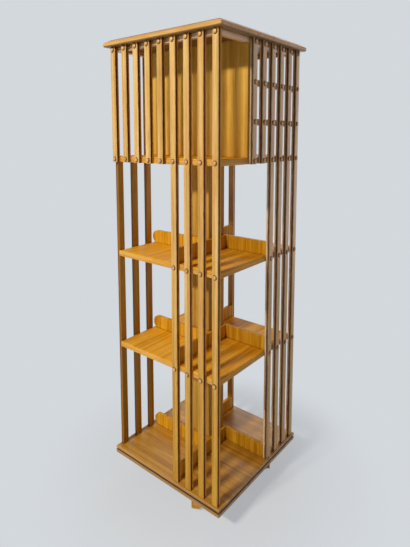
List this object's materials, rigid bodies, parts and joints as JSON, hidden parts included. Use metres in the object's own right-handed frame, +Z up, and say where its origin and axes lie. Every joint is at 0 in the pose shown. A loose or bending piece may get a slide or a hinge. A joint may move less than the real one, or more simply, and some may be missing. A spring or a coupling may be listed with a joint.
{
  "type": "revolving bookcase",
  "caption": "Tall square revolving bookcase with slatted sides, open book spaces set as a pinwheel round a boxed column and a bevelled top, turning on a fixed post over a low cross base.",
  "frame": {"origin": "on the floor, on the turning axis", "axes": "+Z up along the turning axis, -Y out of the front face, +X out of the right face"},
  "size_m": [0.498, 0.498, 1.553],
  "materials": {
    "slat_wood": "satin varnish",
    "panel_wood": "satin varnish",
    "board_wood": "satin varnish",
    "dark_glide": "dark stained",
    "socket_iron": "as cast",
    "screw_steel": "plain",
    "pin_steel": "turned",
    "bearing_brass": "turned"
  },
  "bodies": {
    "base": {"base_arm_lower": "board_wood", "base_arm_upper": "board_wood", "foot_glides": "dark_glide", "post_socket": "socket_iron", "socket_screws": "screw_steel", "centre_post": "board_wood", "pivot_pin": "pin_steel"},
    "case": {"back_buttons": "slat_wood", "back_slat_1": "slat_wood", "back_slat_2": "slat_wood", "back_slat_3": "slat_wood", "back_slat_4": "slat_wood", "block_screws": "screw_steel", "column_bottom": "board_wood", "column_lower": "board_wood", "column_middle": "board_wood", "column_upper": "board_wood", "front_buttons": "slat_wood", "front_slat_1": "slat_wood", "front_slat_2": "slat_wood", "front_slat_3": "slat_wood", "front_slat_4": "slat_wood", "front_upper_slats": "slat_wood", "guide_bush": "bearing_brass", "left_battens": "slat_wood", "left_buttons": "slat_wood", "left_slat_1": "slat_wood", "left_slat_2": "slat_wood", "left_slat_3": "slat_wood", "left_upper_slats": "slat_wood", "pivot_block": "board_wood", "pivot_cup": "bearing_brass", "plinth_board": "board_wood", "right_battens": "slat_wood", "right_buttons": "slat_wood", "right_slat_1": "slat_wood", "right_slat_2": "slat_wood", "right_slat_3": "slat_wood", "right_slat_4": "slat_wood", "right_upper_slats": "slat_wood", "shelf_lower": "board_wood", "shelf_middle": "board_wood", "shelf_upper": "board_wood", "stop_bottom_back": "board_wood", "stop_bottom_front": "board_wood", "stop_bottom_left": "board_wood", "stop_bottom_right": "board_wood", "stop_lower_back": "board_wood", "stop_lower_front": "board_wood", "stop_lower_left": "board_wood", "stop_lower_right": "board_wood", "stop_middle_back": "board_wood", "stop_middle_front": "board_wood", "stop_middle_left": "board_wood", "stop_middle_right": "board_wood", "top_board": "board_wood", "top_rails": "board_wood", "upper_panel": "panel_wood"}
  },
  "joints": [
    {"name": "case_turn", "type": "hinge", "parent": "base", "child": "case", "pos_m": [0, 0, 0], "axis": [0, 0, 1], "continuous": true}
  ]
}
